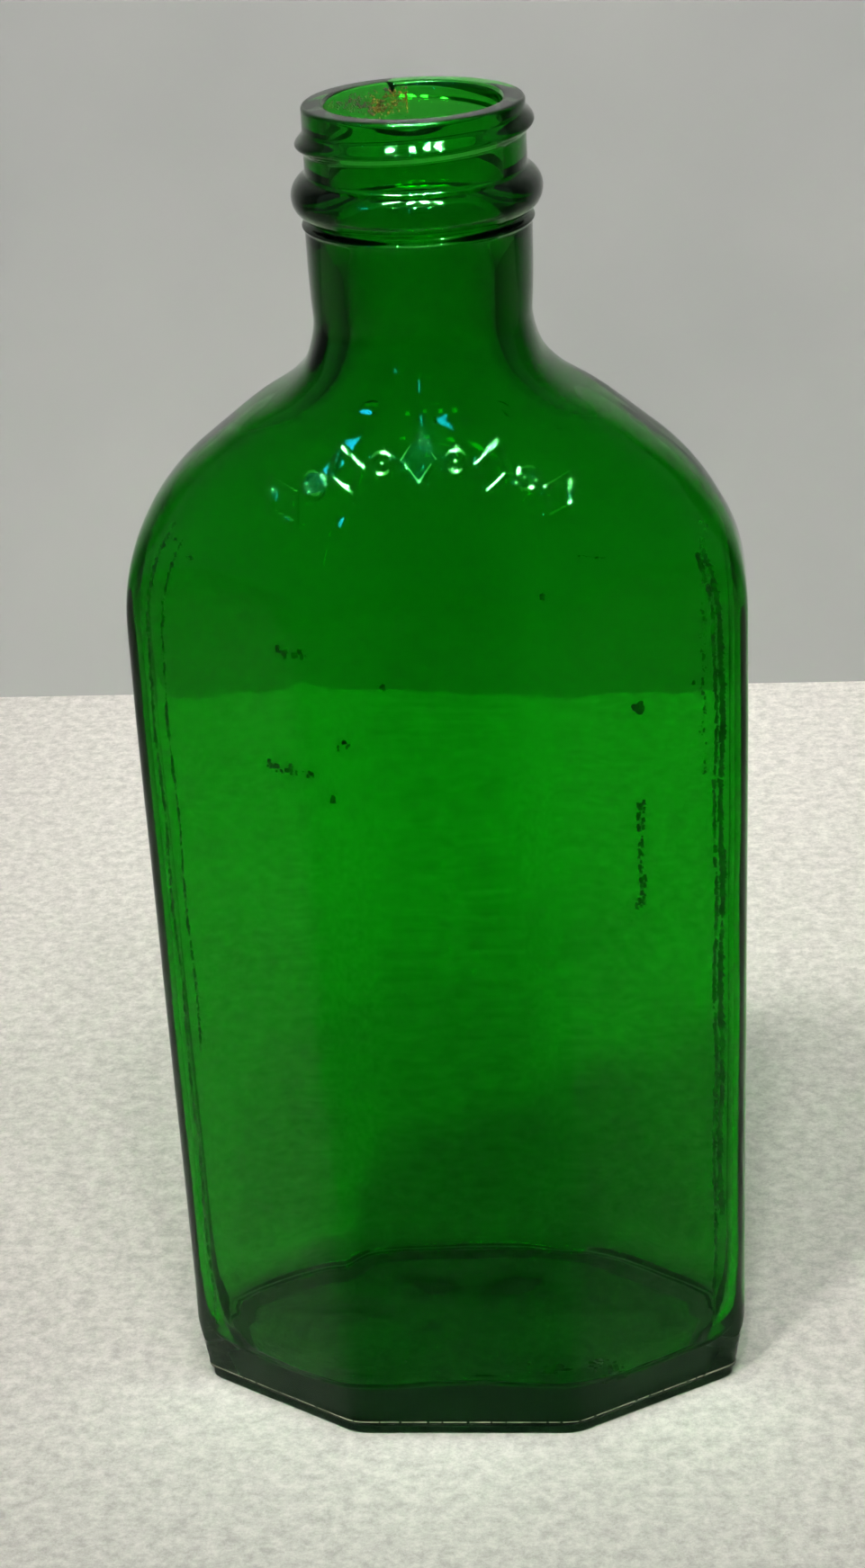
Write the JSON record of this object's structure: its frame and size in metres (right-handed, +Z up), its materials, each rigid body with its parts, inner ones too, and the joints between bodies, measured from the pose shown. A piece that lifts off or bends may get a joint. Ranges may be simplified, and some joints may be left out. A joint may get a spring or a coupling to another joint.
{
  "type": "panelled medicine bottle",
  "caption": "Flat octagonal medicine bottle in emerald glass, with an arched shoulder and a single-turn screw finish, open at the mouth.",
  "frame": {"origin": "centre of the standing face, on the surface the bottle stands on", "axes": "+Z up along the neck axis, +X across the wide front, front panel facing -Y"},
  "size_m": [0.087, 0.049, 0.197],
  "materials": {
    "emerald_glass": "clear moulded glass, deep emerald green",
    "dried_residue": "matt brown and ochre crust",
    "dark_flakes": "matt near-black flakes"
  },
  "bodies": {
    "root": {"bottle": "emerald_glass", "mouth_residue": "dried_residue", "floor_residue": "dark_flakes"}
  },
  "joints": []
}
